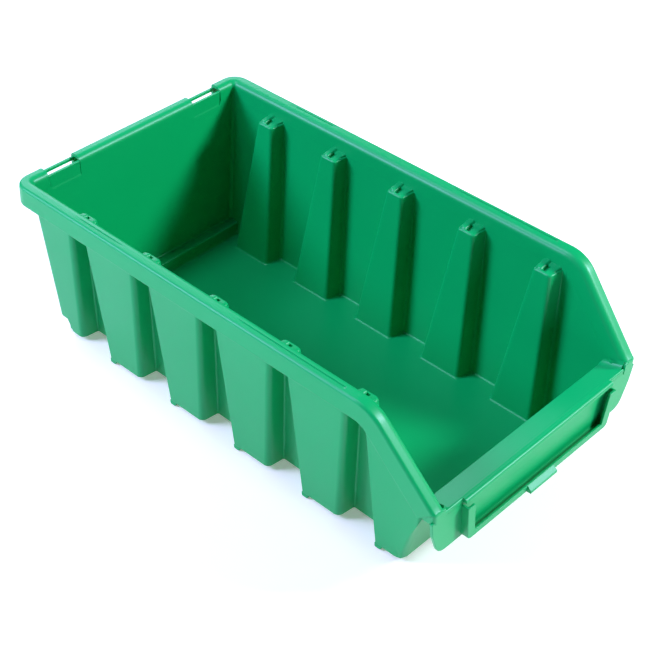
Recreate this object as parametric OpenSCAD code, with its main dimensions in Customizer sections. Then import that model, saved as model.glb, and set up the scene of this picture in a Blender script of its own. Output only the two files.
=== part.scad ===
// Stackable storage bin: one plastic moulding, divided into named regions that meet face to face.
// Millimetres. X to the right, Y to the rear, Z up. The open front faces -Y, the feet stand on Z = 0.

/* [Overall] */
// Length of the rim, front lip to rear edge
rim_length = 350; // [300:400]
// Width over the side rims
rim_width = 201; // [170:230]
// Height of the rim above the base
rim_height = 119.4; // [100:140]
// Height of the front lip above the base
lip_height = 65.1; // [50:80]
// Height of the feet below the base
foot_height = 2.6; // [1:4]

/* [Walls] */
// Wall thickness
wall = 2.2; // [1.6:0.1:3]
// Floor thickness
floor_t = 2; // [1.4:0.1:3]
// Inward lean of the side walls, run over rise
side_draft = 0.0951; // [0:0.01:0.12]
// Backward lean of the rear wall, run over rise
rear_draft = 0.0689; // [0:0.01:0.1]
// Forward lean of the front wall, run over rise
front_draft = 0.2397; // [0.15:0.01:0.3]

/* [Rim] */
// Width of the side rim's top
rim_top = 10; // [8:0.5:12]
// Depth of the rim's outer skirt
rim_drop = 13.9; // [10:18]
// Depth of the rim's inner leg
rim_leg = 11.9; // [10:14]
// Rounding of the rim's outer edge
rim_outer_r = 3; // [2:0.5:4]
// Rounding of the rim's inner edge
rim_inner_r = 4.5; // [3:0.5:5]
// Width of the rear rim's top
rear_top = 8.9; // [8:0.1:11]
// Radius of the rear corners in plan
corner_r = 12; // [9:15]
// Outer radius where the rim turns down
bend_r = 25; // [18:30]
// Angle of the sloping rim below horizontal, degrees
slope_a = 47.9; // [42:52]

/* [Stacking pilasters] */
// Pilasters on each side
pilaster_n = 5; // [5:5]
// Spacing of the pilasters
pilaster_pitch = 58.7; // [50:62]
// Distance from the rear edge to the first pilaster
pilaster_rear = 51.8; // [46:58]
// Half width of the pilaster face at the base
pilaster_hw = 15.9; // [13:18]
// Narrowing of the half width, run over rise
pilaster_taper = 0.0888; // [0.06:0.01:0.1]
// Widening of a pilaster towards the wall, run over depth
pilaster_flare = 0.12; // [0.05:0.01:0.2]
// Depth of the pilaster from the wall at the base
pilaster_depth = 13; // [10:15]
// Lean of the pilaster face, run over rise
pilaster_draft = 0.1118; // [0.09:0.01:0.13]
// Height of the cap above the base, at the wall
cap_h = 107.5; // [95:110]
// Fall of the cap towards its inner edge
cap_fall = 1.2; // [0.5:0.1:2]

/* [Rear] */
// Height of the raised ledge at the rear of the floor
step_h = 11.7; // [8:15]
// Setback of the step's face from the rear edge
step_set = 24.7; // [20:30]
// Start of a hanging slot from the middle
slot_from = 51; // [45:55]
// Length of a hanging slot
slot_len = 26; // [20:30]
// Thickness of the bar behind a hanging slot
bar_t = 2.2; // [1.8:0.1:3]
// Drop of the bar below the rim's top
bar_drop = 2.7; // [2:0.1:4]
// Depth of the pocket in the wall at a hanging slot
pocket = 0.8; // [0.5:0.1:1.2]

/* [Front] */
// Setback of the front wall's inner face from the lip, at the base
front_set = 30.9; // [25:35]
// Width of the front lip's top
lip_top = 16.5; // [13:20]
// Fall of the lip towards the rear
lip_fall = 5.1; // [3:7]
// Height of the lower edge of the front plates
apron_h = 33; // [28:40]
// Half width of the bead and of the label panel at its top
label_hw = 71; // [65:75]
// Narrowing of the label panel's half width at its lower edge
label_taper = 3.5; // [2:5]
// Distance the label guides stand out
guide_out = 5; // [4:6]
// Width of a guide's lip
guide_lip = 6.2; // [4:8]
// Thickness of a guide's lip
guide_t = 1.6; // [1.2:0.1:2]
// Height of the guides above the apron's edge
guide_h = 27; // [20:30]
// Height of the bottom rail's lip
rail_h = 4.5; // [3:6]
// Half width of the finger tab
tab_hw = 12.6; // [10:16]
// Distance the finger tab stands out from the lip
tab_out = 8; // [6:10]
// Distance the bead stands out from the lip
bead_out = 2.8; // [1.5:0.1:3.5]

/* [Hidden] */
$fn = 64;

// Stations along Y: rear edge, front lip, and the walls between them.
yr = (rim_length + tab_out) / 2;
yf = yr - rim_length;
big = 400;
// Heights are counted from the base, and everything is lifted by the feet.
H = rim_height;
// Half width to the inner face of a side wall at height z.
xi0 = rim_width / 2 - rim_top - side_draft * H;
function xi(z) = xi0 + side_draft * z;
function xo(z) = xi(z) + wall;
// Rear wall's inner face, and front wall's inner and outer faces, at height z.
rear_set = rear_top + rear_draft * (H - step_h);
function yri(z) = yr - rear_set + rear_draft * (z - step_h);
function yfi(z) = yf + front_set - front_draft * z;
function yfo(z) = yfi(z) - wall * sqrt(1 + front_draft * front_draft);
// Pilaster: centre, face, side plane, and the same for the hollow behind it.
function py(i) = yr - pilaster_rear - pilaster_pitch * i;
function px(z) = xi0 - pilaster_depth + pilaster_draft * z;
function pw(x, z) = pilaster_hw - pilaster_taper * z + pilaster_flare * (x - px(z));
function gx(z) = px(z) + wall;
function gw(x, z) = pilaster_hw - 2.6 - (pilaster_taper - 0.0125) * z + 0.1 * (x - gx(z));
cap_under = cap_h - cap_fall - wall;
// Slope of the rim: the corner point where the level and sloping lines meet.
slope_t = tan(slope_a);
yc = yf + (H - lip_height) / slope_t - 2.4;
tan_len = bend_r * tan(slope_a / 2);
y_tan = yc + tan_len;
pad_y = yf + 4.2;
pad_z = H - (yc - pad_y) * slope_t;
plate_top = lip_height - 3.1;
lip_slope = lip_fall / lip_top;
yl = yf + lip_top;
zl = lip_height - lip_fall;
corner_y = yr - corner_r;
green = [0.10, 0.66, 0.48];

// Extrude an outline drawn in X-Z along Y, from y0 to y1.
module along_y(y0, y1) {
  translate([0, y1, 0])
    rotate([90, 0, 0])
      linear_extrude(y1 - y0) children();
}

// Extrude an outline drawn in Y-Z along X, from x0 to x1.
module along_x(x0, x1) {
  translate([x0, 0, 0])
    rotate([90, 0, 90])
      linear_extrude(x1 - x0) children();
}

// Right side as drawn, left side mirrored.
module side(s) {
  if (s > 0) children();
  else mirror([1, 0, 0]) children();
}

// Lift the part on its feet.
module up() {
  color(green) translate([0, 0, foot_height]) children();
}

// Tapering prism whose width is linear in x and z, used for a pilaster's outline.
module pilaster_wedge(i) {
  x0 = 50;
  x1 = 110;
  z0 = -1;
  z1 = 130;
  translate([0, py(i), 0])
    polyhedron(
      points = [[x0, -pw(x0, z0), z0], [x1, -pw(x1, z0), z0], [x1, pw(x1, z0), z0], [x0, pw(x0, z0), z0],
                [x0, -pw(x0, z1), z1], [x1, -pw(x1, z1), z1], [x1, pw(x1, z1), z1], [x0, pw(x0, z1), z1]],
      faces = [[0, 1, 2, 3], [7, 6, 5, 4], [4, 5, 1, 0], [5, 6, 2, 1], [6, 7, 3, 2], [7, 4, 0, 3]]);
}

// Tapering prism of the open groove behind a pilaster.
module groove_wedge(i) {
  x1 = 110;
  z0 = -1;
  z1 = cap_under;
  translate([0, py(i), 0])
    polyhedron(
      points = [[gx(z0), -gw(gx(z0), z0), z0], [x1, -gw(x1, z0), z0],
                [x1, gw(x1, z0), z0], [gx(z0), gw(gx(z0), z0), z0],
                [gx(z1), -gw(gx(z1), z1), z1], [x1, -gw(x1, z1), z1],
                [x1, gw(x1, z1), z1], [gx(z1), gw(gx(z1), z1), z1]],
      faces = [[0, 1, 2, 3], [7, 6, 5, 4], [4, 5, 1, 0], [5, 6, 2, 1], [6, 7, 3, 2], [7, 4, 0, 3]]);
}

// Outline in Y-Z below the rim's top line, moved d square to it.
module below_rim(d) {
  r = bend_r - d;
  dy = d * tan(slope_a / 2);
  yk = yc + dy;
  difference() {
    polygon([[yk, H - d], [big, H - d], [big, -big], [yk - big, -big],
             [yk - big, H - d - big * slope_t]]);
    difference() {
      polygon([[y_tan, H - d], [yk, H - d + 0.01], [y_tan - r * sin(slope_a), H - bend_r + r * cos(slope_a)],
               [y_tan, H - bend_r]]);
      translate([y_tan, H - bend_r]) circle(r);
    }
  }
}

// Outline in Y-Z of the band between two depths below the rim's line, in front of the level part.
module rim_band(d0, d1) {
  intersection() {
    difference() {
      below_rim(d0);
      below_rim(d1);
    }
    translate([pad_y, plate_top - 3]) square([y_tan - pad_y, 100]);
  }
}

// Section of a side wall in X-Z between two heights.
module wall_section(z0, z1) {
  polygon([[xi(z0), z0], [xo(z0), z0], [xo(z1), z1], [xi(z1), z1]]);
}

// Rounding of a rim's inner edge, where a wall with the given lean meets the level top.
module inner_round(corner, lean) {
  a = atan(lean);
  cz = H - rim_inner_r;
  cx = corner - lean * rim_inner_r + rim_inner_r / cos(a);
  difference() {
    polygon([[cx, cz], [cx - rim_inner_r * cos(a), cz + rim_inner_r * sin(a)], [corner - 0.5, H + 0.5],
             [cx, H + 0.5]]);
    translate([cx, cz]) circle(rim_inner_r);
  }
}

// Section of the side rim in X-Z: inner leg, top and outer skirt.
module rim_section() {
  ro = rim_width / 2;
  difference() {
    polygon([[xi(cap_h), cap_h], [xi(H), H], [ro, H], [ro, H - rim_drop], [ro - wall, H - rim_drop],
             [ro - wall, H - wall], [xo(H - wall), H - wall], [xo(cap_h), cap_h]]);
    inner_round(xi(H), side_draft);
    translate([ro - rim_outer_r, H - rim_outer_r])
      difference() {
        square(rim_outer_r + 0.5);
        circle(rim_outer_r);
      }
  }
}

// Section of the rear rim in Y-Z.
module rear_section() {
  difference() {
    polygon([[yri(cap_h), cap_h], [yri(H), H], [yr, H], [yr, H - rim_drop], [yr - wall, H - rim_drop],
             [yr - wall, H - wall], [yri(H - wall) + wall, H - wall], [yri(cap_h) + wall, cap_h]]);
    inner_round(yri(H), rear_draft);
    translate([yr - rim_outer_r, H - rim_outer_r])
      difference() {
        square(rim_outer_r + 0.5);
        circle(rim_outer_r);
      }
  }
}

// Outline in Y-Z of the side wall under the rim's inner leg, with the notch below the rear ledge.
module side_outline() {
  intersection() {
    below_rim(rim_leg);
    union() {
      polygon([[yr - step_set + wall, 0], [yfo(0), 0], [yfo(plate_top - 3), plate_top - 3],
               [pad_y, plate_top - 3], [pad_y, cap_h], [yri(cap_h) + wall, cap_h],
               [yri(step_h) + wall, step_h - wall], [yr - step_set + wall, step_h - wall]]);
    }
  }
}

// One wall panel between two grooves. Panel 1 is at the rear, panel 6 at the front.
module panel(s, k) {
  y1 = k == 1 ? big / 2 : py(k - 2);
  y0 = k == pilaster_n + 1 ? -big / 2 : py(k - 1);
  up() side(s)
    difference() {
      intersection() {
        along_y(y0, y1) wall_section(0, cap_h);
        along_x(50, 110) side_outline();
      }
      if (k > 1) pilaster_wedge(k - 2);
      if (k < pilaster_n + 1) pilaster_wedge(k - 1);
    }
}

// One stacking pilaster: a capped rib inside the bin, open as a groove outside and below.
module pilaster(s, i) {
  zc = cap_h - cap_fall;
  up() side(s)
    difference() {
      intersection() {
        along_y(py(i) - 30, py(i) + 30)
          polygon([[px(0), 0], [px(zc), zc], [xi(cap_h), cap_h], [xo(cap_h), cap_h], [xo(0), 0]]);
        pilaster_wedge(i);
      }
      groove_wedge(i);
    }
}

// Floor plate, notched around the pilasters.
module floor_plate() {
  up()
    difference() {
      intersection() {
        along_y(yfi(0) - 3, yr - step_set)
          polygon([[-xi(0), 0], [xi(0), 0], [xi(floor_t), floor_t], [-xi(floor_t), floor_t]]);
        along_x(-big, big)
          polygon([[yfi(0), 0], [yr, 0], [yr, floor_t], [yfi(floor_t), floor_t]]);
      }
      for (s = [-1, 1])
        side(s)
          for (i = [0 : pilaster_n - 1])
            intersection() {
              pilaster_wedge(i);
              along_y(py(i) - 30, py(i) + 30)
                polygon([[px(-1), -1], [px(9), 9], [110, 9], [110, -1]]);
            }
    }
}

// Raised ledge along the rear of the floor.
module rear_step() {
  up()
    intersection() {
      along_x(-big, big)
        polygon([[yr - step_set, 0], [yr - step_set + wall, 0], [yr - step_set + wall, step_h - wall],
                 [yri(step_h), step_h - wall], [yri(step_h), step_h], [yr - step_set, step_h]]);
      along_y(yr - 40, yr) polygon([[-xi(0), 0], [xi(0), 0], [xi(cap_h), cap_h], [-xi(cap_h), cap_h]]);
    }
}

// Rear wall between the side walls, raised and thinned at the hanging slots.
module rear_wall() {
  top = H - bar_drop;
  s0 = slot_from;
  s1 = slot_from + slot_len;
  up()
    difference() {
      intersection() {
        along_x(-big, big)
          polygon([[yri(step_h), step_h - wall], [yri(step_h) + wall, step_h - wall],
                   [yri(H) + wall, H], [yri(H), H]]);
        along_y(yr - 40, yr)
          union() {
            polygon([[-xi(0), 0], [xi(0), 0], [xi(cap_h), cap_h], [-xi(cap_h), cap_h]]);
            translate([s0, cap_h - 1]) square([slot_len, top - cap_h + 1]);
            translate([-s1, cap_h - 1]) square([slot_len, top - cap_h + 1]);
          }
      }
      for (s = [-1, 1])
        side(s)
          along_x(s0, s1)
            polygon([[yri(cap_h) - 1, cap_h + 1], [yri(cap_h) + pocket, cap_h + 1],
                     [yri(H) + pocket, H], [yri(H) - 1, H]]);
    }
}

// Leaning front wall below the lip.
module front_wall() {
  zb = zl - wall;
  up()
    intersection() {
      along_x(-big, big)
        polygon([[yfi(0), 0], [yfi(zb), zb], [yfo(zb), zb + lip_slope * (yfi(zb) - yfo(zb))], [yfo(0), 0]]);
      along_y(yf, yfi(0)) polygon([[-xi(0), 0], [xi(0), 0], [xi(cap_h), cap_h], [-xi(cap_h), cap_h]]);
    }
}

// Level side rim between the rear corner and the bend.
module side_rim(s) {
  up() side(s) along_y(y_tan, corner_y) rim_section();
}

// Bend and sloping part of the side rim, following the wall's lean.
module front_rim(s) {
  up() side(s) {
    intersection() {
      along_x(50, 120) rim_band(0, rim_leg);
      along_y(yf - 20, y_tan)
        polygon([[xi(0), 0], [xo(0), 0], [xo(H), H], [xi(H), H]]);
    }
    intersection() {
      along_x(50, 120) rim_band(0, wall);
      along_y(yf - 20, y_tan)
        polygon([[xi(0) + wall, 0], [xi(0) + rim_top - wall, 0], [xi(H) + rim_top - wall, H], [xi(H) + wall, H]]);
    }
    intersection() {
      along_x(50, 120) rim_band(0, rim_drop);
      along_y(yf - 20, y_tan)
        polygon([[xi(0) + rim_top - wall, 0], [xi(0) + rim_top, 0], [xi(H) + rim_top, H],
                 [xi(H) + rim_top - wall, H]]);
    }
  }
}

// Plan of the rear corner out to a given inset.
module corner_plan(d) {
  ro = rim_width / 2;
  s1 = slot_from + slot_len;
  difference() {
    translate([s1, corner_y]) square([ro - d - s1, corner_r - d]);
    translate([ro - corner_r, corner_y])
      difference() {
        square(corner_r + 1);
        circle(corner_r - d);
      }
  }
}

// Rounded rear corner of the rim.
module rear_corner(s) {
  s1 = slot_from + slot_len;
  up() side(s) {
    translate([0, 0, H - wall])
      linear_extrude(wall)
        difference() {
          corner_plan(0);
          translate([s1 - 1, corner_y - 5]) square([xi(H) - s1 + 1, yri(H) - corner_y + 5]);
        }
    translate([0, 0, H - rim_drop])
      linear_extrude(rim_drop)
        difference() {
          corner_plan(0);
          corner_plan(wall);
        }
    intersection() {
      along_y(corner_y, yr) wall_section(cap_h, H);
      along_x(50, 120)
        polygon([[corner_y, cap_h], [yri(cap_h) + wall, cap_h], [yri(H) + wall, H], [corner_y, H]]);
    }
    intersection() {
      along_x(s1, 120)
        polygon([[yri(cap_h), cap_h], [yri(cap_h) + wall, cap_h], [yri(H) + wall, H], [yri(H), H]]);
      along_y(corner_y, yr) polygon([[0, cap_h], [xo(cap_h), cap_h], [xo(H), H], [0, H]]);
    }
  }
}

// Raised middle of the rear rim.
module rear_rim() {
  up() along_x(-slot_from, slot_from) rear_section();
}

// Bar behind a hanging slot.
module hanging_bar(s) {
  up() side(s)
    translate([slot_from, yr - bar_t, H - bar_drop - bar_t]) cube([slot_len, bar_t, bar_t]);
}

// Front lip: a top that falls to the rear, with a bead along its front edge.
module front_lip() {
  zb = zl - wall;
  yb = yfi(zb);
  up() {
    intersection() {
      along_x(-big, big)
        polygon([[yf, lip_height], [yl, zl], [yb, zb],
                 [yf + wall, zb + lip_slope * (yb - yf - wall)], [yf + wall, plate_top], [yf, plate_top]]);
      along_y(yf, yl + 5) polygon([[-xi(0), 0], [xi(0), 0], [xi(H), H], [-xi(H), H]]);
    }
    along_x(1 - label_hw, label_hw - 1)
      polygon([[yf, lip_height], [yf, plate_top], [yf - bead_out, plate_top], [yf - bead_out, lip_height - 1.5],
               [yf - bead_out + 0.5, lip_height - 0.4], [yf - bead_out + 1.6, lip_height]]);
  }
}

// Corner pad where the sloping rim meets the lip.
module front_pad(s) {
  up() side(s)
    intersection() {
      along_x(50, 120)
        polygon([[yf, plate_top], [yf, lip_height], [pad_y, pad_z], [pad_y, plate_top]]);
      along_y(yf, pad_y) polygon([[xi(0), 0], [xi(0) + rim_top, 0], [xi(H) + rim_top, H], [xi(H), H]]);
    }
}

// Hanging plate beside the label panel.
module skirt(s) {
  xr = xi(plate_top) + rim_top;
  lo = label_hw - label_taper;
  up() side(s)
    along_y(yf, yf + wall)
      polygon([[label_hw, plate_top], [xr, plate_top], [xr - 2.2, plate_top - 11], [xr - 6.1, plate_top - 21],
               [xr - 8.6, plate_top - 25.6], [xr - 11.4, apron_h + 0.9], [xr - 15, apron_h],
               [lo, apron_h]]);
}

// Plate behind the label.
module label_panel() {
  lo = label_hw - label_taper;
  up()
    along_y(yf, yf + wall)
      polygon([[-label_hw, plate_top], [label_hw, plate_top], [lo, apron_h], [-lo, apron_h]]);
}

// Half width of the label frame's outer face at height z.
function lw(z) = label_hw - label_taper * (plate_top - z) / (plate_top - apron_h);

// Hooked guide at one end of the label.
module label_guide(s) {
  z1 = apron_h + guide_h;
  zr = apron_h + guide_t;
  up() side(s) {
    along_y(yf - guide_out, yf)
      polygon([[lw(apron_h) - guide_t, apron_h], [lw(apron_h), apron_h], [lw(z1), z1], [lw(z1) - guide_t, z1]]);
    along_y(yf - guide_out, yf - guide_out + guide_t)
      polygon([[lw(apron_h) - guide_lip, apron_h], [lw(apron_h) - guide_t, apron_h], [lw(z1) - guide_t, z1],
               [lw(z1) - guide_lip, z1]]);
  }
}

// Bottom rail between the guides, hooked like them.
module label_rail() {
  up()
    difference() {
      along_y(yf - guide_out, yf)
        polygon([[guide_t - lw(apron_h), apron_h], [lw(apron_h) - guide_t, apron_h],
                 [lw(apron_h + rail_h) - guide_t, apron_h + rail_h], [guide_t - lw(apron_h + rail_h), apron_h + rail_h]]);
      along_x(-big, big)
        translate([yf - guide_out + guide_t, apron_h + guide_t]) square([guide_out, rail_h]);
      for (s = [-1, 1])
        side(s)
          along_y(yf - guide_out - 1, yf - guide_out + guide_t)
            polygon([[lw(apron_h) - guide_lip, apron_h], [lw(apron_h) + 9, apron_h], [lw(apron_h) + 9, plate_top],
                     [lw(plate_top) - guide_lip, plate_top]]);
    }
}

// Finger tab in front of the rail.
module label_tab() {
  ya = yf - guide_out;
  up()
    along_x(-tab_hw, tab_hw)
      polygon([[ya, apron_h], [ya, apron_h + rail_h], [yf - tab_out, apron_h + 1.8], [yf - tab_out, apron_h]]);
}

// Small feet under the rear lower corner of each panel in front of a groove.
module feet(s) {
  color(green) side(s)
    for (i = [0 : pilaster_n - 1])
      translate([xi(0) - 2, py(i) - pw(xo(0), 0) - 5.5, 0]) cube([wall + 2, 5, foot_height]);
}

floor_plate();  // floor
rear_step();
rear_wall();
front_wall();
panel(-1, 1);  // left_panel_1
panel(-1, 2);  // left_panel_2
panel(-1, 3);  // left_panel_3
panel(-1, 4);  // left_panel_4
panel(-1, 5);  // left_panel_5
panel(-1, 6);  // left_panel_6
panel(1, 1);  // right_panel_1
panel(1, 2);  // right_panel_2
panel(1, 3);  // right_panel_3
panel(1, 4);  // right_panel_4
panel(1, 5);  // right_panel_5
panel(1, 6);  // right_panel_6
pilaster(-1, 0);  // left_pilaster_1
pilaster(-1, 1);  // left_pilaster_2
pilaster(-1, 2);  // left_pilaster_3
pilaster(-1, 3);  // left_pilaster_4
pilaster(-1, 4);  // left_pilaster_5
pilaster(1, 0);  // right_pilaster_1
pilaster(1, 1);  // right_pilaster_2
pilaster(1, 2);  // right_pilaster_3
pilaster(1, 3);  // right_pilaster_4
pilaster(1, 4);  // right_pilaster_5
side_rim(-1);  // left_rim
side_rim(1);  // right_rim
front_rim(-1);  // left_front_rim
front_rim(1);  // right_front_rim
rear_corner(-1);  // left_rear_corner
rear_corner(1);  // right_rear_corner
rear_rim();
hanging_bar(-1);  // left_hanging_bar
hanging_bar(1);  // right_hanging_bar
front_lip();
front_pad(-1);  // left_front_pad
front_pad(1);  // right_front_pad
skirt(-1);  // left_skirt
skirt(1);  // right_skirt
label_panel();
label_guide(-1);  // left_label_guide
label_guide(1);  // right_label_guide
label_rail();
label_tab();
feet(-1);  // left_feet
feet(1);  // right_feet
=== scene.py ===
# %% [markdown]
# # A stackable storage bin
# The bin is one thin moulding: a tub with leaning walls, five hollow pilasters on each side, a rim like an
# upturned channel, an open front with a label holder, and two hanging slots at the back. The solids come
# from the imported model. Here the soft roundings that a mould leaves are added, with the plastic itself.

# %% Load the frame
import math
import bpy
import numpy as np
from mathutils import Matrix, Vector


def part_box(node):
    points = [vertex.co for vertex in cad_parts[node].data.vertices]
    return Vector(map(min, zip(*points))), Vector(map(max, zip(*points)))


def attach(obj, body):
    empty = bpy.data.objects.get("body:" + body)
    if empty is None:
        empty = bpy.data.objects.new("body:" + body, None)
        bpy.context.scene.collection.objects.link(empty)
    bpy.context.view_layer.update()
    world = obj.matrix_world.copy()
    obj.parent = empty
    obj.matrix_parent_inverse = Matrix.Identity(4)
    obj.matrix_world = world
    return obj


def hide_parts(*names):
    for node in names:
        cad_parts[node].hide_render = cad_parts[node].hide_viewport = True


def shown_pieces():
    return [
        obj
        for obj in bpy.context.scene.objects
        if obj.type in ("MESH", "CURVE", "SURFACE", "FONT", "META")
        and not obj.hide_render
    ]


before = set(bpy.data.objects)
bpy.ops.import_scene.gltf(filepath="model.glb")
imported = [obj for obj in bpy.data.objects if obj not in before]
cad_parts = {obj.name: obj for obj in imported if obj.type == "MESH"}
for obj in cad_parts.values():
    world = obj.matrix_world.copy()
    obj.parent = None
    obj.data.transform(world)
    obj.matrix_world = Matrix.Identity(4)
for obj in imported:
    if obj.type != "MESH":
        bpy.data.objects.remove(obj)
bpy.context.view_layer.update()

# %% [markdown]
# ## Sizes
# Everything is worked out in millimetres above the base, and lifted by the feet when a mesh is made. The
# main stations are read from the solids' own boxes, so the looks stay on the solids.

# %% Stations from the solids
def mm_box(node):
    """Low and high corner of a solid's box, in millimetres."""
    low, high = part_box(node)
    return np.array(low) * 1000, np.array(high) * 1000

FOOT = mm_box("left_feet")[1][2]
HALF_W = mm_box("right_rim")[1][0]
H = mm_box("rear_rim")[1][2] - FOOT
Y_REAR = mm_box("rear_rim")[1][1]
Y_LIP = mm_box("label_panel")[0][1]
Z_LIP = mm_box("front_lip")[1][2] - FOOT
WALL = 2.2
RIM_W = 10.0
REAR_RIM_W = 8.9
FRONT_FOOT = 30.9
SHARP_EDGE = 48
DRAFT = 0.0951
REAR_DRAFT = 0.0689
FRONT_DRAFT = 0.2397
XI0 = HALF_W - RIM_W - DRAFT * H
print("half width", HALF_W, "height", H, "rear", Y_REAR, "lip", Y_LIP, Z_LIP)

def wall_in(z):
    """Inner face of a side wall: half the width at the base plus the lean times the height."""
    return XI0 + DRAFT * z

def rear_in(z):
    """Inner face of the rear wall: the rim's width in from the rear edge, less the lean times the drop."""
    return Y_REAR - REAR_RIM_W - REAR_DRAFT * (H - z)

def front_in(z):
    """Inner face of the front wall, which leans forward as it rises."""
    return Y_LIP + FRONT_FOOT - FRONT_DRAFT * z

def front_out(z):
    """Outer face of the front wall: the wall's thickness is measured square to the lean."""
    return front_in(z) - WALL * math.sqrt(1 + FRONT_DRAFT ** 2)

# %% [markdown]
# ## Helpers for surfaces
# A moulded wall is a loop of points carried along a line of stations, so every piece here is a grid of
# points. A corner is rounded by swapping it for an arc that touches both of its straight sides.

# %% Rounded paths
def rounded_path(points, radii, steps, fills):
    """Rounds the corners of paths given as (..., corners, 2). At a corner with half angle h, the arc starts
    radius / tan(h) away along both sides, and its centre is radius / sin(h) away along the bisector. The arc
    is swept by spherical interpolation of the two spokes. fills gives the points added on each straight."""
    p = np.asarray(points, float)
    n = p.shape[-2]
    out = [p[..., 0:1, :]]
    last = p[..., 0, :]
    for k in range(1, n):
        b = p[..., k, :]
        if k < n - 1:
            u = p[..., k - 1, :] - b
            v = p[..., k + 1, :] - b
            u = u / np.linalg.norm(u, axis=-1, keepdims=True)
            v = v / np.linalg.norm(v, axis=-1, keepdims=True)
            h = np.arccos(np.clip((u * v).sum(-1), -1, 1)) / 2
            r = np.asarray(radii[k], float) * np.ones(h.shape)
            t = (r / np.tan(h))[..., None]
            bis = (u + v) / np.maximum(np.linalg.norm(u + v, axis=-1, keepdims=True), 1e-9)
            c = b + bis * (r / np.sin(h))[..., None]
            start, end = b + u * t, b + v * t
            w = (math.pi - 2 * h)[..., None]
            f = np.linspace(0, 1, steps[k] + 1)
            a0, a1 = start - c, end - c
            sine = np.maximum(np.sin(w), 1e-6)
            arc = [c + (np.sin((1 - q) * w) * a0 + np.sin(q * w) * a1) / sine for q in f]
        else:
            start = b
            arc = [b]
        m = fills[k - 1]
        for q in (np.arange(1, m + 1) / (m + 1) if isinstance(m, int) else m):
            out.append((last + (start - last) * q)[..., None, :])
        out.extend(a[..., None, :] for a in arc)
        last = arc[-1]
    return np.concatenate(out, axis=-2)

# %% A mesh from grids of points
def grid_piece(name, *grids):
    """Makes one mesh from arrays of points (stations, loop, 3) in millimetres. A cell between two stations
    is a four-sided face, each loop is closed, and the first and last loops are filled. The sum of the signed
    volumes of the fans of all faces tells which way they point. If it is negative, they are turned round."""
    co, faces = [], []
    start = 0
    for p in grids:
        nu, nv = p.shape[:2]
        pts = p.reshape(-1, 3)
        a, b = np.meshgrid(np.arange(nu - 1), np.arange(nv), indexing="ij")
        b2 = (b + 1) % nv
        quads = np.stack([a * nv + b, a * nv + b2, (a + 1) * nv + b2, (a + 1) * nv + b], -1).reshape(-1, 4)
        mine = quads.tolist() + [list(range(nv))[::-1], [(nu - 1) * nv + k for k in range(nv)]]
        volume = 0.0
        for face in (quads, np.array([mine[-2]]), np.array([mine[-1]])):
            c = pts[face] - pts.mean(0)
            volume += np.einsum("fi,fki->", c[:, 0], np.cross(c[:, 1:-1], c[:, 2:]))
        if volume < 0:
            mine = [f[::-1] for f in mine]
        faces += [[k + start for k in f] for f in mine]
        co.append(pts)
        start += len(pts)
    co = np.concatenate(co) * 0.001 + np.array([0, 0, FOOT * 0.001])
    mesh = bpy.data.meshes.new(name)
    mesh.from_pydata(co.tolist(), [], faces)
    mesh.polygons.foreach_set("use_smooth", np.ones(len(mesh.polygons), bool))
    mesh.update()
    mesh.set_sharp_from_angle(angle=math.radians(SHARP_EDGE))
    obj = bpy.data.objects.new(name, mesh)
    bpy.context.scene.collection.objects.link(obj)
    return obj

def finish_piece(obj, *nodes):
    """Evens the shading by face size, hangs the piece under the root body, and hides the solids that it
    stands in for.
    """
    mod = obj.modifiers.new("Even normals", "WEIGHTED_NORMAL")
    mod.weight = 60
    mod.keep_sharp = True
    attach(obj, "root")
    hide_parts(*nodes)
    print(obj.name, len(obj.data.vertices), "points,", len(obj.data.polygons), "faces")

# %% Sweeps and plates
def swept(corners, radii, x0, x1, lean=(0.0, 0.0), steps=6):
    """Carries a closed outline of (y, z) corners, rounded by the given radii, from x0 to x1. The first and
    last corners stay sharp. Each end's x grows by its lean times the height z."""
    n = len(corners)
    path = rounded_path(np.array(corners, float), radii, [steps] * n, [0] * (n - 1))
    z = path[:, 1]
    ends = [np.stack([x, path[:, 0], z], -1) for x in (x0 + lean[0] * z, x1 + lean[1] * z)]
    return np.stack(ends)

def plate(outline, y0, y1, r=0.5):
    """A flat plate with the given closed outline in x and z, from y0 to y1, its rims rounded by r: each loop
    is the outline moved in along its own normals by r less the cosine's share, as in a quarter circle."""
    q = np.asarray(outline, float)
    t = np.roll(q, -1, 0) - np.roll(q, 1, 0)
    normal = np.stack([t[:, 1], -t[:, 0]], -1) / np.linalg.norm(t, axis=1, keepdims=True)
    area = (q[:, 0] * np.roll(q[:, 1], -1) - np.roll(q[:, 0], -1) * q[:, 1]).sum()
    normal = normal * np.sign(area)
    turn = np.radians(np.linspace(0, 90, 5))
    loops = []
    for y, side in ((y0, 1), (y1, -1)):
        part = [(q - normal * r * (1 - math.sin(a)), y + side * r * (1 - math.cos(a))) for a in turn]
        loops += part if side > 0 else part[::-1]
    return np.stack([np.stack([o[:, 0], np.full(len(o), y), o[:, 1]], -1) for o, y in loops])

# %% [markdown]
# ## The rim's line
# Along each side the rim runs level, turns down through a bend, slopes to the front and ends in a short
# rounded nose. Each station of the line has a place, and a direction square to the line called up.

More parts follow.
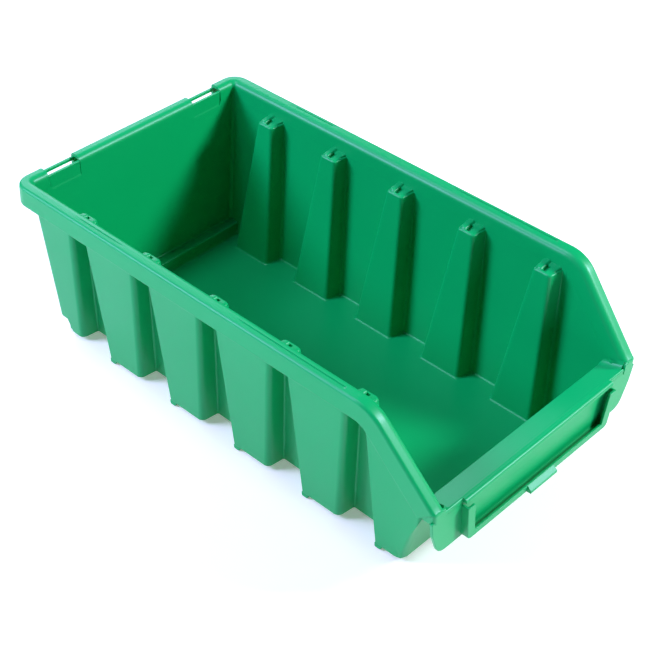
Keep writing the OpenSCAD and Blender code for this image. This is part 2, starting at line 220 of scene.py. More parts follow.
# %% The rim's line in side view
SLOPE = math.radians(47.9)
BEND_R = 25.0
OUT_R = 2.2
NOSE_R = 3.0
LEN_END = 6.1
Y_CORNER = Y_LIP + (H - Z_LIP) / math.tan(SLOPE) - 2.4
Y_BEND = Y_CORNER + BEND_R * math.tan(SLOPE / 2)
Y_NOSE = Y_LIP + 0.8
Z_NOSE = H - (Y_CORNER - Y_NOSE) * math.tan(SLOPE)
LEN_BEND = BEND_R * SLOPE
bend_end = np.array([Y_BEND - BEND_R * math.sin(SLOPE), H - BEND_R * (1 - math.cos(SLOPE))])
LEN_SLOPE = math.hypot(bend_end[0] - Y_NOSE, bend_end[1] - Z_NOSE)
LEN_NOSE = NOSE_R * (math.pi / 2 - SLOPE)

def rim_line(s):
    """Place (y, z) and angle of the rim at distance s past the start of the bend: level before it, an arc
    of the bend's radius, a straight slope, the nose's arc down to the vertical, and a short straight end."""
    s = np.asarray(s, float)
    ang = np.clip(s / BEND_R, 0, SLOPE)
    y = Y_BEND - np.minimum(s, 0) - BEND_R * np.sin(ang)
    z = H - BEND_R * (1 - np.cos(ang))
    on_slope = np.clip(s - LEN_BEND, 0, LEN_SLOPE)
    y = y - on_slope * math.cos(SLOPE)
    z = z - on_slope * math.sin(SLOPE)
    turn = np.clip(s - LEN_BEND - LEN_SLOPE, 0, LEN_NOSE) / NOSE_R
    y = y - NOSE_R * (np.sin(SLOPE + turn) - math.sin(SLOPE))
    z = z - NOSE_R * (math.cos(SLOPE) - np.cos(SLOPE + turn))
    z = z - np.clip(s - LEN_BEND - LEN_SLOPE - LEN_NOSE, 0, LEN_END)
    return y, z, ang + turn

print("bend starts at", round(Y_BEND, 1), "nose at", round(Y_NOSE, 1), round(Z_NOSE, 1))

# %% [markdown]
# ## One long side
# A side is one closed skin: up the inner wall, over the rim, down the outer wall. Its stations run from the
# hanging slot at the back, round the corner, past five pilasters, and down the slope to the nose. The
# pilasters are hollow: the inner skin steps in where the outer skin has a groove.

# %% Sizes of the pilasters, grooves and caps
N_PIL = 5
PITCH = 58.7
X_SLOT = 77.0
FLOOR_T = 2.0
CAP_Z = 107.3
CAP_WALL_Z = 108.6
GROOVE_TOP = 104.1
NOTCH_Y = Y_REAR - 23.5
DEPTH_LEG = 11.9
Y_FIRST = Y_REAR - 51.8
SLOT_FILL, LEG_FILL, PANEL_FILL = 2, 3, 5

def pilaster_face(z):
    """How far out a pilaster's inner face is, growing with height."""
    return XI0 - 13.0 + 0.1118 * z

def pilaster_half(x, z):
    """Half the width of a pilaster: less with height, and more towards the wall."""
    return 15.9 - 0.0888 * z + 0.12 * (x - pilaster_face(z))

def groove_half(x, z):
    """Half the width of the groove behind a pilaster, in the same way."""
    return 13.3 - 0.0763 * z + 0.1 * (x - pilaster_face(z) - WALL)

STEPS = [0, 8] + [5, 4, 4, 5] * N_PIL + [0]
FACE = [0.119, 0.233, 0.367, 0.390, 0.5, 0.633, 0.762, 0.786, 0.9]
NOTCH = [0.27, 0.533, 0.569, 0.605, 0.667, 0.744, 0.82]
FILLS = ([SLOT_FILL, NOTCH] + [LEG_FILL, FACE, LEG_FILL, PANEL_FILL] * (N_PIL - 1)
         + [LEG_FILL, FACE, LEG_FILL, 0])
print(N_PIL, "pilasters, every", PITCH, "mm, the first", round(Y_REAR - Y_FIRST, 1), "mm from the rear edge")

# %% Outline of the inner or outer skin in plan

def plan_path(z, inset, shrink, outer):
    """Plan outline at heights z. Inset moves the whole line towards the middle of the bin, and shrink makes
    only the pilasters smaller. The outer skin has the groove's corners in place of the pilaster's."""
    z = np.asarray(z, float)
    inset = inset + 0 * z
    shrink = shrink + 0 * z
    off = WALL if outer else 0.0
    xw = wall_in(z) + off - inset
    yr = rear_in(z) + off - inset
    pts = [(X_SLOT - DRAFT * (H - z), yr), (xw, yr)]
    for i in range(N_PIL):
        yc = Y_FIRST - PITCH * i
        if outer:
            xf = pilaster_face(z) + WALL - inset
            hb = groove_half(xw + inset, z) + inset
            hf = groove_half(pilaster_face(z) + WALL, z) + inset
        else:
            xf = pilaster_face(z) - inset + shrink
            hb = pilaster_half(xw + inset, z) + inset - shrink
            hf = pilaster_half(pilaster_face(z), z) + inset - shrink
        pts += [(xw, yc + hb), (xf, yc + hf), (xf, yc - hf), (xw, yc - hb)]
    pts.append((xw, yc - hb - 3.0))
    pts = np.stack([np.stack(q, -1) for q in pts], -2)
    if outer:
        radii = [0, 4.5] + [4.0, 1.2, 0.8, 0.6] * N_PIL + [0]
    else:
        foot = 0.5 + 1.5 * np.clip((104 - z) / 40, 0, 1)
        radii = [0, 2.5] + [foot, 1.9, 2.6, foot] * N_PIL + [0]
    return rounded_path(pts, radii, STEPS, FILLS)

# %% [markdown]
# ### The inner wall and the caps
# On the real bin the inner wall rises from a small fillet at the floor, past the pilasters, to a cap on each.
# It could be a wall with five boxes let into it, but their seams would need hiding. A plan outline for every
# height gives blended corners at once. On a cap, a row slides from the pilaster's face back to the wall.

# %% Rows of the inner wall
FLOOR_R = 1.3
CAP_R = 1.2
CAP_POCKET = 1.4
CAP_RAISED = 0.9
CAP_ROWS = ((0.07, 0), (0.09, 1), (0.36, 1), (0.64, 1), (0.66, 0), (0.83, 0), (1.0, 0))

def at_height(path, z):
    """Plan points (points, 2) as points in space, all at height z."""
    return np.stack([path[:, 0], path[:, 1], np.full(len(path), z)], -1)

quarter = np.radians(np.linspace(0, 90, 5))
z_low = FLOOR_T + FLOOR_R * (1 - np.cos(quarter))
z_mid = np.linspace(FLOOR_T + FLOOR_R, CAP_Z - CAP_R, 14)[1:-1]
z_top = CAP_Z - CAP_R + CAP_R * np.sin(quarter)
inset_in = np.concatenate([FLOOR_R * (1 - np.sin(quarter)), 0 * z_mid, 0 * z_top])
shrink_in = np.concatenate([0 * z_low, 0 * z_mid, CAP_R * (1 - np.cos(quarter))])
z_in = np.concatenate([z_low, z_mid, z_top])
inner = plan_path(z_in, inset_in, shrink_in, False)
n_plan = inner.shape[1]
n_rear = 1 + SLOT_FILL + STEPS[1] + 1
side = np.arange(n_plan) >= n_rear
rows = [at_height(path, z) for path, z in zip(inner, z_in)]
print("inner wall:", len(rows), "rows of", n_plan, "points")

# %% Rows over the caps
pocket, raised = np.zeros(n_plan, bool), np.zeros(n_plan, bool)
block = sum(STEPS[2:6]) + 4 + 2 * LEG_FILL + len(FACE) + PANEL_FILL
for i in range(N_PIL):
    face = n_rear + len(NOTCH) + i * block + (STEPS[2] + 1) + LEG_FILL + (STEPS[3] + 1)
    pocket[face + 3:face + 7] = True
    raised[face - 5:face + 2] = True
for t, sunk in CAP_ROWS:
    z = CAP_Z + (CAP_WALL_Z - CAP_Z) * t
    path = plan_path(np.array(z), 0.0, CAP_R, False)
    x = np.where(side, inner[-1, :, 0] + (wall_in(z) - inner[-1, :, 0]) * t, path[:, 0])
    y = np.where(side, inner[-1, :, 1], path[:, 1])
    up = CAP_RAISED * raised * min(t / CAP_ROWS[0][0], 1)
    rows.append(np.stack([x, y, z - CAP_POCKET * (pocket & (sunk > 0)) + up], -1))
base = rows[-1]
print("with the caps:", len(rows), "rows")

# %% [markdown]
# ### The rim
# The real rim is a channel that is open below: over the wall, out, and down to a short outer leg. A bevelled
# curve could carry it, but it has to share its points with the wall to leave no seam. So each row is set by
# its offset out from the wall and its depth below the rim's line, at every station of the skin.

# %% Stations of the rim
CORNER_IN_R = 2.5
CORNER_OUT_R = 12.0
NOSE_PROUD = 0.35
S_NOSE = LEN_BEND + LEN_SLOPE
S_END = S_NOSE + LEN_NOSE
s_side = BEND_R * np.arcsin(np.clip(np.maximum(Y_BEND - base[:, 1], 0) / BEND_R, 0, 1))
s_last = s_side[-1]
s_front = np.concatenate([np.linspace(s_last, LEN_BEND, 9)[1:], np.linspace(LEN_BEND, S_NOSE, 16)[1:],
                          np.linspace(S_NOSE, S_END, 10)[1:], [S_END + 1.6, S_END + 3.8, S_END + LEN_END]])
k_nose = np.searchsorted(s_front, S_NOSE + 1e-6)
s_front[k_nose - 1] -= 0.3
s_front = np.insert(s_front, k_nose, S_NOSE + 0.1)
n_front = len(s_front)
s_all = np.concatenate([np.where(side, s_side, 0), s_front])
proud = np.where(s_all > S_NOSE, NOSE_PROUD, 0.0)
ly, lz, la = rim_line(s_all)
la = np.where(s_all < LEN_BEND, SLOPE * np.clip((s_all - s_last) / (LEN_BEND - s_last), 0, 1), la)
print("rim stations:", len(s_all), "with", n_front, "in the last panel")

# %% Inner and outer edge of the rim at each station
station = np.arange(n_plan + n_front)
k_arc = 1 + SLOT_FILL
rear, flat, level = station < n_rear, station < k_arc, s_all <= 0
th = np.radians(90 - 90 * np.clip((station - k_arc) / STEPS[1], 0, 1))
corner = np.array([HALF_W - CORNER_OUT_R, Y_REAR - CORNER_OUT_R])
base_y = np.concatenate([base[:, 1], ly[n_plan:]])
ix = np.where(rear, wall_in(H) - CORNER_IN_R + CORNER_IN_R * np.cos(th), wall_in(H))
iy = np.where(rear, rear_in(H) - CORNER_IN_R + CORNER_IN_R * np.sin(th), np.where(level, base_y, ly))
ox = np.where(rear, corner[0] + CORNER_OUT_R * np.cos(th), HALF_W)
oy = np.where(rear, corner[1] + CORNER_OUT_R * np.sin(th), np.minimum(iy, corner[1]))
f = np.clip(station / k_arc, 0, 1)
ix = np.where(flat, X_SLOT + (wall_in(H) - CORNER_IN_R - X_SLOT) * f, ix)
ox = np.where(flat, X_SLOT + (corner[0] - X_SLOT) * f, ox)
oy = np.where(level, np.where(flat, Y_REAR, oy), iy)
out_dir = np.stack([(ox - ix) / RIM_W, (oy - iy) / RIM_W], -1)

def at(o, d):
    """Point at offset o out from the wall's line and depth d below the rim's line, at every station. The
    nose's top and outer leg stand a little proud of it."""
    d = d - proud * (1 if np.max(d) < 1.5 or o > 9.5 else 0)
    x = ix + out_dir[:, 0] * o + DRAFT * (lz - H)
    y = iy + out_dir[:, 1] * o + np.sin(la) * d
    z = lz - np.cos(la) * d
    return np.stack([x, y, z], -1)

print("rim is", RIM_W, "mm wide")

# %% Rows over the rim
RIM_R = 4.5
MARK_DEPTH = 0.45
MARK_SPANS = ((79, 120), (-104, -23))
HEM_R = 0.7
square = np.clip((s_all - LEN_BEND - LEN_SLOPE) / (0.7 * LEN_NOSE), 0, 1)
rim_rows = [at(-DRAFT * d, d) for d in (9.5, 7.0)]
for q in np.linspace(0, 2, 9):
    a = q * math.pi / 4
    p = at(RIM_R - (RIM_R + DRAFT * RIM_R) * math.cos(a), RIM_R - RIM_R * math.sin(a))
    f = at(max(q - 1, 0) * RIM_R - DRAFT * RIM_R * max(1 - q, 0), max(1 - q, 0) * RIM_R)
    rim_rows.append(p + (f - p) * square[:, None])
on_rim = np.concatenate([side, np.zeros(n_front, bool)])
mark = MARK_DEPTH * (on_rim & np.any([(iy > a) & (iy < b) for a, b in MARK_SPANS], axis=0))
rim_rows += [at(5.0, 0.0), at(5.15, mark), at(6.7, mark), at(6.85, 0.0)]
for q in np.radians(np.linspace(0, 90, 7)):
    rim_rows.append(at(RIM_W - OUT_R + OUT_R * math.sin(q), OUT_R - OUT_R * math.cos(q)))
rim_rows += [at(RIM_W, d) for d in (6.0, 9.5, 13.1)]
for q in np.radians(np.linspace(30, 90, 3)):
    rim_rows.append(at(9.3 + HEM_R * math.cos(q), 13.2 + HEM_R * math.sin(q)))
INSIDE_CHANNEL = ((8.3, 13.9), (7.9, 13.6), (7.8, 13.1), (7.8, 8.0), (7.8, 3.4), (7.5, 2.6), (6.9, 2.3),
                  (4.5, 2.3), (3.0, 2.3), (2.3, 2.7))
rim_rows += [at(o, d) for o, d in INSIDE_CHANNEL]
rim_rows += [at(WALL - DRAFT * d, d) for d in (3.6, 6.0, 9.0)]
print("rim:", len(rim_rows), "rows")

# %% [markdown]
# ### The outer wall and its foot
# Outside, each pilaster is an open groove with a closed top. The outer wall is made like the inner one, from
# plan outlines with the grooves' corners, so the wall keeps its thickness. At the back both walls end above
# the floor line, where the real bin has its raised rear ledge.

# %% Rows of the outer wall
BOW_R = 5.0
z_out = np.concatenate([[GROOVE_TOP], np.linspace(GROOVE_TOP - 1.0, 1.0, 14), [0.35, 0.08, 0.0]])
inset_out = np.concatenate([np.zeros(15), [0.15, 0.4, 0.8]])
outer = plan_path(z_out, inset_out, 0.0, True)
out_rows = []
for z in (CAP_WALL_Z, 105.8, GROOVE_TOP + 0.4):
    path = plan_path(np.array(z), 0.0, 0.0, True)
    x = np.where(side, wall_in(z) + WALL, path[:, 0])
    y = np.where(side, outer[0, :, 1], path[:, 1])
    out_rows.append(np.stack([x, y, np.full(n_plan, z)], -1))
out_rows += [at_height(path, z) for path, z in zip(outer, z_out)]
out_rows.append(at_height(plan_path(np.array([0.05]), 0.3, 0.0, False)[0], 0.05))

def lift_foot(stack, lift, z_top):
    """Raises the bottom of each column by its lift, less and less up to z_top. Points slide along the
    column's own straight wall: the line between its rows at z_top and near the bottom."""
    stack = np.stack(stack)
    z = stack[..., 2]
    up = lift * np.clip((z_top - z) / (z_top - z.min()), 0, 1)
    hi = stack[np.abs(z[:, 0] - z_top).argmin()]
    lo = stack[np.abs(z[:, 0] - 8.0).argmin()]
    per = (hi - lo)[..., :2] / np.maximum(hi - lo, 1e-6)[..., 2:]
    stack[..., :2] += per * up[..., None]
    stack[..., 2] += up
    return list(stack)

y_low = outer[-4, :, 1]
bow = BOW_R - np.sqrt(np.maximum(BOW_R ** 2 - np.clip(y_low - NOTCH_Y + 5.5, 0, BOW_R) ** 2, 0))
out_rows = lift_foot(out_rows, np.where(y_low > NOTCH_Y - 0.3, 9.5, bow), GROOVE_TOP)
rows = lift_foot(rows, np.where(rows[0][:, 1] > NOTCH_Y - 0.8, 8.5, 0.0), 100.0)
print("outer wall:", len(out_rows), "rows")

# %% [markdown]
# ### The last panel
# In front of the fifth pilaster the real wall is cut by the slope, down to the lip. Cutting a plain wall
# would leave a raw edge to round. Instead the rows run straight from the rim's leg to a low path, which
# follows the floor and then the front wall.

# %% Rows of the last panel, and the whole skin
def last_panel(first_rows, low_path, off, small, large):
    """Rows of the last panel: straight lines from the rim's leg to the low path, spaced as the rows of the
    station next to it, and closer to the low path in front. Within a radius of the low path the skin turns
    in as a quarter circle: x less r minus the root of r squared less (r - distance) squared."""
    first = np.stack([r[-1] for r in first_rows])
    line_y, line_z, turn = ly[n_plan:], lz[n_plan:], la[n_plan:]
    top_y, top_z = line_y + np.sin(turn) * DEPTH_LEG, line_z - np.cos(turn) * DEPTH_LEG
    f = np.linspace(0, 1, n_front + 1)[1:]
    seg = np.linalg.norm(np.diff(low_path, axis=0), axis=1)
    cum = np.concatenate([[0], np.cumsum(seg)]) / seg.sum()
    front = np.clip((f - (cum[1] - 0.04)) / 0.08, 0, 1)
    by = np.interp(f, cum, low_path[:, 0])
    bz = np.interp(f, cum, low_path[:, 1])
    z_lo = low_path[0, 1]
    g = np.clip((first[:, 2] - z_lo) / (CAP_WALL_Z - z_lo), 0, 1)[:, None]
    g = g * (1 - front) + g ** 1.8 * front
    length = np.hypot(top_y - by, top_z - bz)
    y = by + (top_y - by) * g
    z = bz + (top_z - bz) * g
    r = (small + (large - small) * front) * np.clip(length / 14.0, 0.1, 1)
    away = np.clip(r - g * length, 0, r)
    x = wall_in(z) + off - (r - np.sqrt(r * r - away * away))
    return list(np.stack([x, y, z], -1))

low_in = np.array([[rows[0][-1, 1], FLOOR_T], [front_in(2.0), FLOOR_T], [front_in(57.5), 57.5],
                   [Y_LIP + 13.6, 58.4]])
low_out = np.array([[out_rows[-2][-1, 1], 0.0], [front_out(0) + 1.5, 0.0], [front_out(1.5), 1.5],
                    [front_out(57.4), 57.4], [Y_LIP + 13.4, 58.6]])
last_in = last_panel(rows, low_in, 0.0, 2.0, 2.8)
last_out = last_panel(out_rows, low_out, WALL, 0.8, 5.0)
last_out[-1] = (last_out[-2] + last_in[0]) / 2
inside = [np.concatenate(pair) for pair in zip(rows, last_in)]
outside = [np.concatenate(pair) for pair in zip(out_rows, last_out)]
skin = np.stack(inside + rim_rows + outside, 1)
print("side skin:", skin.shape)

# %% [markdown]
# ### Left and right
# The bin is taken to be the same on both sides. The left side could be worked out again with its signs
# changed, but mirrored points say the same in one line, and grid_piece turns the faces outwards again.

# %% Both sides
MIRROR = np.array([-1, 1, 1])
for word, pts in (("right", skin), ("left", skin * MIRROR)):
    finish_piece(grid_piece(word + "_side", pts), *[f"{word}_panel_{k}" for k in range(1, 7)],
                 *[f"{word}_pilaster_{k}" for k in range(1, 6)],
                 word + "_rim", word + "_front_rim", word + "_rear_corner", word + "_front_pad")

# %% [markdown]
# ## The back
# The rear wall is a straight sweep, so one outline carried along x is enough. Its middle has the full rim.
# At each hanging slot the rim is left out: the wall ends lower, with a pocket inside, behind a thin bar.

# %% Rear wall and rim between the slots
SLOT_0 = 51.0
BASE_Z = 9.5
LEG_Z = H - 13.9
CHANNEL_Z = H - 2.3
wall_foot = [(rear_in(BASE_Z) + WALL, BASE_Z), (rear_in(BASE_Z) - 0.3, BASE_Z + 0.02)]
middle = swept([(rear_in(10.5), 10.5), (rear_in(H), H), (Y_REAR, H), (Y_REAR, LEG_Z), (Y_REAR - 2.2, LEG_Z),
                (Y_REAR - 2.2, CHANNEL_Z), (rear_in(CHANNEL_Z) + WALL, CHANNEL_Z)] + wall_foot,
               [0, 4.5, OUT_R, 0.6, 0.6, 0.7, 0.7, 0.6, 0], -SLOT_0, SLOT_0, steps=8)
finish_piece(grid_piece("rear_rim_middle", middle), "rear_rim")

# %% Rear wall and bars at the hanging slots
POCKET = 0.28
END_X = X_SLOT - DRAFT * H
low = H - 2.9
slot = swept([(rear_in(10.5), 10.5), (rear_in(106.0), 106.0), (rear_in(107.3) + POCKET, 107.3),
              (rear_in(low) + POCKET, low), (rear_in(low) + WALL, low)] + wall_foot,
             [0, 0.3, 0.3, 0.4, 0.4, 0.6, 0], SLOT_0, END_X, (0, DRAFT))
finish_piece(grid_piece("rear_wall_at_slots", slot, slot * MIRROR), "rear_wall")
bar = swept([(Y_REAR - 2.2, low - 1), (Y_REAR - 2.2, low), (Y_REAR, low), (Y_REAR, low - 2.2),
             (Y_REAR - 2.2, low - 2.2)],
            [0, 0.5, 0.7, 0.5, 0], SLOT_0 - 0.3, X_SLOT + 0.3)
finish_piece(grid_piece("hanging_bars", bar, bar * MIRROR), "left_hanging_bar", "right_hanging_bar")

# %% [markdown]
# ### The ledge
# Low at the back the floor steps up along the rear wall. A box with rounded edges would do, but the fillet
# to the floor shows, so its outline is swept too, and its ends lean with the side walls.

# %% Rear ledge
STEP_Y = Y_REAR - 24.7
STEP_Z = 11.7
LEDGE_TOP = 13.3
w = rear_in(STEP_Z)
ledge = swept([(STEP_Y - 2.1, FLOOR_T + 0.01), (STEP_Y, FLOOR_T + 0.01), (STEP_Y, STEP_Z), (w, STEP_Z),
               (rear_in(LEDGE_TOP), LEDGE_TOP), (w + 1, LEDGE_TOP), (w + 1, BASE_Z), (STEP_Y + 2.2, BASE_Z),
               (STEP_Y + 2.2, 0.01), (STEP_Y - 1, 0.02)],
              [0, 2.0, 1.2, 1.5, 0, 0, 0, 1.0, 0.8, 0], -XI0 - 0.5, XI0 + 0.5, (-DRAFT, DRAFT))
finish_piece(grid_piece("rear_ledge", ledge), "rear_step")

# %% [markdown]
# ## The open front
# Below the lip stands the leaning front wall, with the label plate hung in front of it. The lip falls to the
# rear, its front edge carries a soft bead, and its ends climb a little where they meet the side walls.

# %% Front wall
front = swept([(front_in(FLOOR_T) + 2.1, FLOOR_T + 0.01), (front_in(FLOOR_T), FLOOR_T + 0.01),
               (front_in(59), 59), (front_out(59), 59), (front_out(0), 0.0), (front_in(0) + 1, 0.02)],
              [0, 2.0, 0, 0, 1.2, 0], -XI0 + 2.75, XI0 - 2.75, (-DRAFT, DRAFT))
finish_piece(grid_piece("front_wall_sheet", front), "front_wall")

# %% Lip, bead and the lip's ends
LIP_DEEP = 16.5
LIP_FALL = 5.1
HUMP_R = 5.0
BEAD_HALF = 70
LIP_IN = Y_LIP + LIP_DEEP
lip = swept([(Y_LIP + 2.2, 61.9), (Y_LIP, 61.9), (Y_LIP, Z_LIP), (LIP_IN, Z_LIP - LIP_FALL),
             (front_in(57.0), 57.0), (front_in(57.0) - 1.5, 57.2), (front_out(58.5), 58.6)],
            [0, 0.3, 1.2, 1.6, 0.2, 0, 0], -XI0 - 0.6, XI0 + 0.6, (-DRAFT, DRAFT))
bead = swept([(Y_LIP + 1.0, 62.1), (Y_LIP - 2.8, 62.1), (Y_LIP - 2.8, 65.3), (Y_LIP + 3.2, Z_LIP - 0.95),
              (Y_LIP + 3.2, 63)], [0, 0.5, 2.0, 0, 0], -BEAD_HALF, BEAD_HALF)
u = np.linspace(0, 1, 9)[:, None]
climb = HUMP_R - np.sqrt(HUMP_R ** 2 - (HUMP_R * u) ** 2)
y_hump = np.array([LIP_IN + 0.5, LIP_IN - 1.2, Y_LIP + 8.0, Y_LIP + 1.5, Y_LIP + 1.5, LIP_IN + 0.5])
z_hump = Z_LIP - LIP_FALL * (y_hump - Y_LIP) / LIP_DEEP + np.array([-1.6, -0.1, 0, 0, -4.0, -4.0])
rises = np.array([0.8, 1, 1, 1, 0, 0])
hump = np.stack([wall_in(62.0) - 4.4 + HUMP_R * u + 0 * y_hump, y_hump + 0 * u, z_hump + climb * rises], -1)
finish_piece(grid_piece("front_lip_and_bead", lip, bead, hump, hump * MIRROR), "front_lip")

# %% [markdown]
# ### The label holder
# A card would slide down behind three hooked edges on a flat plate, past a tab in the middle. Each edge
# could be a bar of its own. The real holder is one frame with rounded corners, so a single outline is used
# twice: thin against the plate, and wider in front, where it hooks over the card.

# %% Plate, with its skirts
def mirrored_outline(half):
    """Closes an outline from its right half (x, z), which starts and ends on the middle line."""
    return np.concatenate([half, half[::-1] * np.array([-1, 1])])

PLATE_TOP = 62.2
PLATE_LOW = 33
half = rounded_path(np.array([(0, PLATE_TOP), (96.4, PLATE_TOP), (94.3, 51), (87.3, PLATE_LOW),
                              (0, PLATE_LOW)], float),
                    [0, 0.4, 14, 9, 0], [8] * 5, [14, 1, 1, 14])
finish_piece(grid_piece("label_plate", plate(mirrored_outline(half)[::-1], Y_LIP, Y_LIP + WALL)),
             "label_panel", "left_skirt", "right_skirt")

# %% Frame and tab
GUIDE_TOP = 60.0
TAB_HALF = 12.6

def frame_outline(width, low):
    """Outline of a frame that is open above, with sides of the given width and its inner edge at low."""
    corners = np.array([(0, PLATE_LOW), (67.4, PLATE_LOW), (70.8, GUIDE_TOP), (70.8 - width, GUIDE_TOP),
                        (67.6 - width, low), (0, low)], float)
    return mirrored_outline(rounded_path(corners, [0, 3.6, 0.5, 0.5, 0.6, 0], [6] * 6, [14, 3, 0, 3, 14]))

hook = plate(frame_outline(6.2, 37.6), Y_LIP - 5.0, Y_LIP - 3.4, 0.35)
wall_ring = plate(frame_outline(1.6, 34.6), Y_LIP - 3.8, Y_LIP + 0.4, 0.1)
tab = swept([(Y_LIP - 3.6, 33.2), (Y_LIP - 3.8, 37.4), (Y_LIP - 5.0, 37.4), (Y_LIP - 8.0, 34.9),
             (Y_LIP - 8.0, 32.9), (Y_LIP - 3.7, 32.9)],
            [0, 0.3, 0.4, 0.6, 0.6, 0], -TAB_HALF, TAB_HALF)
finish_piece(grid_piece("label_frame", hook, wall_ring, tab),
             "left_label_guide", "right_label_guide", "label_rail", "label_tab")

# %% [markdown]
# ## The feet
# Under each groove a small lug stands below the floor, and probably sits on a cap of the bin beneath. They
# could be drawn out of the skin, but they are hardly seen, so each is a short sweep.

# %% Feet
feet = []
for i in range(N_PIL):
    y1 = Y_FIRST - PITCH * i - 14.0
    feet.append(swept([(y1 - 5.4, 0.3), (y1 - 5.0, -FOOT), (y1 - 0.2, -FOOT), (y1, 0.3)],
                      [0, 1.4, 1.0, 0], XI0 - 1.6, XI0 + 2.1))
finish_piece(grid_piece("feet", *feet, *[f * MIRROR for f in feet]), "left_feet", "right_feet")

# %% [markdown]
# ## The camera
# The camera stands to the left of the open front and looks down on the bin, with a long lens. It is built
# from three directions square to each other, so the small roll is plain to see. The lens shift moves the
# picture's middle without turning the camera.

# %% Camera
AZIMUTH, ELEVATION, ROLL = (math.radians(v) for v in (-45.8, 39.5, 0.9))
AIM = np.array([-51.6, 10.4, 60.0 + FOOT]) * 0.001
DISTANCE = 0.9362
LENS_MM = 83.603077
SHIFT_X, SHIFT_Y = 0.1129231, 0.0218462
scene = bpy.context.scene
back = np.array([math.sin(AZIMUTH) * math.cos(ELEVATION), -math.cos(AZIMUTH) * math.cos(ELEVATION),
                 math.sin(ELEVATION)])
right = np.array([math.cos(AZIMUTH), math.sin(AZIMUTH), 0.0])
up = np.cross(back, right)
right, up = (right * math.cos(ROLL) + up * math.sin(ROLL), -right * math.sin(ROLL) + up * math.cos(ROLL))
place = AIM + back * DISTANCE
cam_data = bpy.data.cameras.new("Camera")
cam = bpy.data.objects.new("Camera", cam_data)
scene.collection.objects.link(cam)
m = np.eye(4)
m[:3, 0], m[:3, 1], m[:3, 2], m[:3, 3] = right, up, back, place
cam.matrix_world = Matrix(m.tolist())
cam_data.sensor_width = 36.0
cam_data.lens = LENS_MM
cam_data.shift_x = SHIFT_X
cam_data.shift_y = SHIFT_Y
cam_data.clip_end = 20
scene.camera = cam
print("camera at", np.round(place, 3), "lens", round(cam_data.lens, 1))

# %% [markdown]
# ## The plastic
# The bin is dyed polypropylene: one deep green all through, with a soft gloss. It could be one flat colour,
# but a real moulding shows cloudy flow in the dye, a fine grain from the mould's steel, and gloss that
# varies a little with the cooling. So colour, roughness and a very low bump each follow their own noise.

# %% Shader maths as expressions
class Wire:
    """An output socket that can stand in sums. Each operator adds one Math node, on numbers or wires."""
    def __init__(self, tree, socket=None):
        self.tree = tree
        self.socket = socket

    def node(self, kind, settings=None, sockets=None, out=0):
        """Adds any node: its type, its settings, which are set first, and its sockets' values or wires."""
        new = self.tree.nodes.new("ShaderNode" + kind)
        for key, value in (settings or {}).items():
            setattr(new, key, value)
        for key, value in (sockets or {}).items():
            if isinstance(value, Wire):
                self.tree.links.new(value.socket, new.inputs[key])
            else:
                new.inputs[key].default_value = value
        return Wire(self.tree, new.outputs[out])

    def sum_of(self, operation, a, b):
        return self.node("Math", {"operation": operation}, {0: a, 1: b})

    def __add__(self, other):
        return self.sum_of("ADD", self, other)

    def __radd__(self, other):
        return self.sum_of("ADD", other, self)

    def __sub__(self, other):
        return self.sum_of("SUBTRACT", self, other)

    def __rsub__(self, other):
        return self.sum_of("SUBTRACT", other, self)

    def __mul__(self, other):
        return self.sum_of("MULTIPLY", self, other)

    def __rmul__(self, other):
        return self.sum_of("MULTIPLY", other, self)

# %% Green plastic
DYE_DEEP = (0.0, 0.335, 0.092, 1)
DYE_LIGHT = (0.0005, 0.375, 0.110, 1)
plastic = bpy.data.materials.new("green_polypropylene")
plastic.use_nodes = True
bsdf = plastic.node_tree.nodes["Principled BSDF"]
wire = Wire(plastic.node_tree)
place_on = wire.node("TexCoord", out=3)
dye = wire.node("TexNoise", {}, {"Vector": place_on, "Scale": 11.0, "Detail": 3.0, "Roughness": 0.55})
gloss = wire.node("TexNoise", {}, {"Vector": place_on, "Scale": 28.0, "Detail": 2.0, "Roughness": 0.5})
grain = wire.node("TexNoise", {}, {"Vector": place_on, "Scale": 1400.0, "Detail": 1.0, "Roughness": 0.6})
sink = wire.node("TexNoise", {}, {"Vector": place_on, "Scale": 45.0, "Detail": 1.0, "Roughness": 0.4})
colour = wire.node("Mix", {"data_type": "RGBA"}, {0: dye, 6: DYE_DEEP, 7: DYE_LIGHT}, out=2)
rough = 0.31 + 0.10 * gloss + 0.04 * grain
height = 0.10 * grain + sink
bump = wire.node("Bump", {}, {"Strength": 0.22, "Distance": 0.0004, "Height": height})
for name, part in (("Base Color", colour), ("Roughness", rough), ("Normal", bump)):
    plastic.node_tree.links.new(part.socket, bsdf.inputs[name])
bsdf.inputs["IOR"].default_value = 1.5
bsdf.inputs["Specular IOR Level"].default_value = 0.36
bsdf.inputs["Specular Tint"].default_value = (0.62, 0.86, 1.0, 1)
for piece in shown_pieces():
    piece.data.materials.clear()
    piece.data.materials.append(plastic)

# %% [markdown]
# ## Floor and light
# A product table is a pale sheet under even light. The sheet glows a little, more so far away, so that it
# meets a pale horizon. The sky is bright only for the camera and lights the bin weakly. A panel on the left
# lights the long outer side and the wall across from it, a stronger one in front on the right lights the rear
# wall, a weak one overhead reaches the floor inside, and a weak one behind puts gloss on the rim.

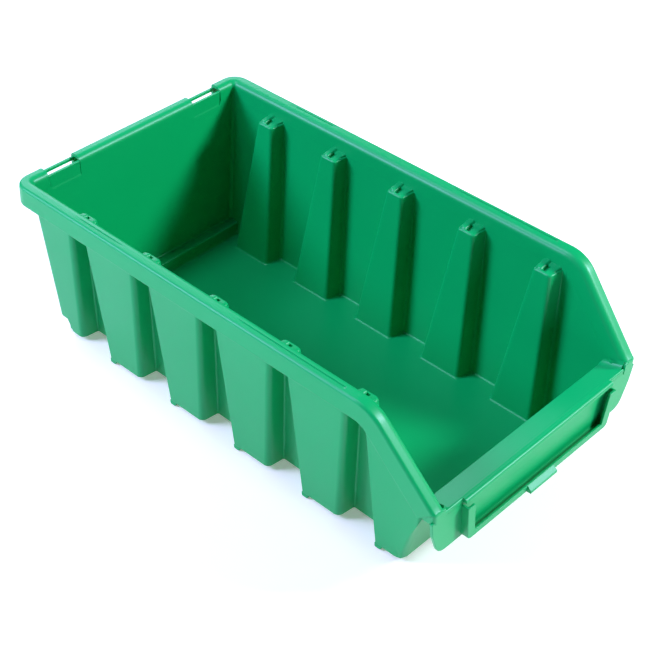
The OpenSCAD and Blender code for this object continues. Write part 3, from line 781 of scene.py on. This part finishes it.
# %% Pale floor
scene.view_settings.view_transform = "Standard"
FLOOR_HALF = 12.0
sheet = bpy.data.meshes.new("studio_floor")
FLOOR_Z = -0.0004
corners = [(sx * FLOOR_HALF, sy * FLOOR_HALF, FLOOR_Z) for sx, sy in ((-1, -1), (1, -1), (1, 1), (-1, 1))]
sheet.from_pydata(corners, [], [(0, 1, 2, 3)])
floor = bpy.data.objects.new("studio_floor", sheet)
scene.collection.objects.link(floor)
paper = bpy.data.materials.new("pale_paper")
paper.use_nodes = True
paper_bsdf = paper.node_tree.nodes["Principled BSDF"]
wire = Wire(paper.node_tree)
tooth = wire.node("TexNoise", {}, {"Vector": wire.node("TexCoord", out=3), "Scale": 60.0, "Detail": 2.0})
PAPER_LOW, PAPER_HIGH = (0.90, 0.90, 0.90, 1), (0.93, 0.93, 0.93, 1)
paper_tone = wire.node("Mix", {"data_type": "RGBA"}, {0: tooth, 6: PAPER_LOW, 7: PAPER_HIGH}, out=2)
paper.node_tree.links.new(paper_tone.socket, paper_bsdf.inputs["Base Color"])
paper_bsdf.inputs["Roughness"].default_value = 0.9
far = wire.node("VectorMath", {"operation": "LENGTH"}, {0: wire.node("TexCoord", out=3)}, out=1)
spread = wire.node("MapRange", {}, {"Value": far, "From Min": 0.4, "From Max": 2.2})
GLOW_NEAR, GLOW_FAR = (0.24, 0.24, 0.24, 1), (0.95, 0.95, 0.95, 1)
glow = wire.node("Mix", {"data_type": "RGBA"}, {0: spread, 6: GLOW_NEAR, 7: GLOW_FAR}, out=2)
paper.node_tree.links.new(glow.socket, paper_bsdf.inputs["Emission Color"])
paper_bsdf.inputs["Emission Strength"].default_value = 1.0
paper_bsdf.inputs["Specular IOR Level"].default_value = 0.1
floor.data.materials.append(paper)
print("floor sheet is", 2 * FLOOR_HALF, "m wide")

# %% Sky, bright only for the camera
SKY_LIGHT = 0.07
SKY_SEEN = 0.9
world = bpy.data.worlds.new("studio")
scene.world = world
world.use_nodes = True
wire = Wire(world.node_tree)
seen = wire.node("LightPath")
world.node_tree.links.new((SKY_LIGHT + SKY_SEEN * seen).socket, world.node_tree.nodes["Background"].inputs[1])
world.node_tree.nodes["Background"].inputs[0].default_value = (0.97, 1.0, 1.03, 1)
print("sky lights the bin at", SKY_LIGHT, "and the camera sees", round(SKY_LIGHT + SKY_SEEN, 2))

# %% Light panels
MIDDLE = (0, 0, 0.05)

def light_panel(name, place, aim, size, power, colour=(1, 1, 1)):
    """A square light of the given size in metres, at a place and turned towards a point."""
    data = bpy.data.lights.new(name, "AREA")
    data.shape = "SQUARE"
    data.size = size
    data.energy = power
    data.color = colour
    obj = bpy.data.objects.new(name, data)
    scene.collection.objects.link(obj)
    obj.location = place
    obj.rotation_euler = (Vector(aim) - Vector(place)).to_track_quat("-Z", "Y").to_euler()
    print(name, "panel", size, "m,", power, "W")

light_panel("left", (-1.35, 1.15, 1.15), MIDDLE, 0.7, 38, (0.90, 0.87, 1.38))
light_panel("right front", (1.15, -1.35, 1.25), MIDDLE, 0.45, 56, (0.98, 0.97, 1.10))
light_panel("overhead", (-0.35, 0.5, 1.6), MIDDLE, 0.4, 11, (0.95, 0.88, 1.28))
light_panel("back", (0.9, 1.5, 0.8), MIDDLE, 1.0, 12, (1.0, 0.87, 1.4))
